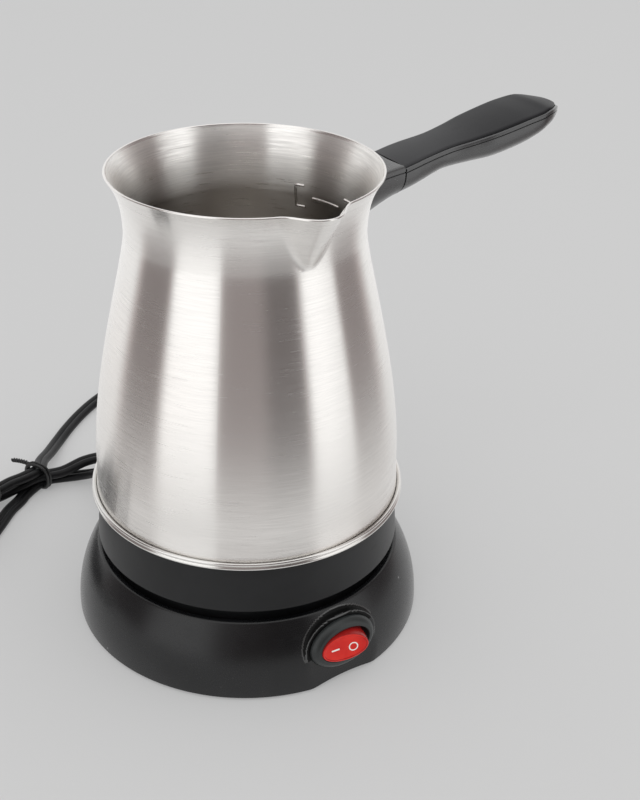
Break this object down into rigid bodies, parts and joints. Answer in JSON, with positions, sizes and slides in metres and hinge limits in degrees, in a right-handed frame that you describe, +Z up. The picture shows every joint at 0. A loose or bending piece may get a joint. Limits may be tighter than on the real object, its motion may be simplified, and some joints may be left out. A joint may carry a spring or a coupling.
{
  "type": "electric turkish coffee maker",
  "caption": "Steel coffee pot with pouring spout and black handle that lifts off a heated low round base with an oval rocker switch and a flat mains cord.",
  "frame": {"origin": "point on the table under the pot's axis, on the plane of the rubber foot ring", "axes": "+Z up, +X along the handle, -Y towards the spout and the switch"},
  "size_m": [0.2758, 0.2333, 0.1686],
  "materials": {
    "black_gloss": "satin black moulding",
    "black_matte": "plain black moulding",
    "foot_rubber": "dark rubber",
    "screw_steel": "plated",
    "contact_brass": "stamped brass",
    "switch_black": "satin",
    "rocker_red": "clear red",
    "white_plastic": "plain",
    "spring_steel": "wire",
    "lamp_glass": "clear",
    "contact_copper": "stamped copper alloy",
    "lead_brown": "insulated wire",
    "lead_blue": "insulated wire",
    "cord_black": "flexible cord",
    "tie_black": "twist tie",
    "plug_black": "moulded plug",
    "pin_nickel": "nickel plated",
    "pot_steel": "fine horizontal brushing",
    "bead_chrome": "polished",
    "band_black": "satin black",
    "plate_aluminium": "machined",
    "element_steel": "heat-tinted tube",
    "ceramic": "ceramic body",
    "fuse_sleeve": "glass-fibre sleeve",
    "bracket_steel": "pressed steel",
    "handle_black": "satin black",
    "lid_charcoal": "dark charcoal"
  },
  "bodies": {
    "base": {"base_shell": "black_gloss", "base_cover": "black_matte", "foot_ring": "foot_rubber", "base_screws": "screw_steel", "socket_body": "black_matte", "socket_contacts": "contact_brass", "switch_case": "switch_black", "switch_terminals": "contact_brass", "live_lead": "lead_brown", "switched_lead": "lead_brown", "neutral_lead": "lead_blue", "lamp_lead": "lead_blue", "cord_inner": "cord_black", "cord_clamp": "black_matte", "clamp_screws": "screw_steel", "strain_relief": "cord_black", "cord_lead": "cord_black", "cord_bight": "cord_black", "cord_hank": "cord_black", "cord_tie": "tie_black", "plug_body": "plug_black", "plug_pins": "pin_nickel"},
    "pot": {"pot_shell": "pot_steel", "bead_ring": "bead_chrome", "heater_housing": "band_black", "heater_plate": "plate_aluminium", "heating_element": "element_steel", "thermostat": "ceramic", "thermal_fuse": "fuse_sleeve", "coupler_block": "black_matte", "coupler_pins": "pin_nickel", "pot_live_lead": "lead_brown", "pot_link_lead": "lead_brown", "pot_neutral_lead": "lead_blue", "housing_studs": "screw_steel", "housing_screws": "screw_steel", "handle_bracket": "bracket_steel", "handle_collar": "handle_black", "handle_lower": "handle_black", "handle_lid": "lid_charcoal", "handle_screw": "screw_steel"},
    "rocker": {"rocker": "rocker_red", "rocker_plunger": "white_plastic", "rocker_spring": "spring_steel", "pilot_lamp": "lamp_glass"},
    "contact_lever": {"contact_lever": "contact_copper"}
  },
  "joints": [
    {"name": "pot_lift", "type": "slide", "parent": "base", "child": "pot", "axis": [0, 0, 1], "range_m": [0, 0.06]},
    {"name": "rocker_tilt", "type": "hinge", "parent": "base", "child": "rocker", "pos_m": [0.00294, -0.05615, 0.01468], "axis": [-0.0073, 0.139, 0.9903], "range_deg": [0, 24]},
    {"name": "lever_tilt", "type": "hinge", "parent": "base", "child": "contact_lever", "pos_m": [0.00262, -0.04992, 0.01381], "axis": [-0.0073, 0.139, 0.9903], "range_deg": [-16, 0]}
  ],
  "couplings": [
    {"joint": "lever_tilt", "follows": "rocker_tilt", "ratio": -0.66667}
  ]
}
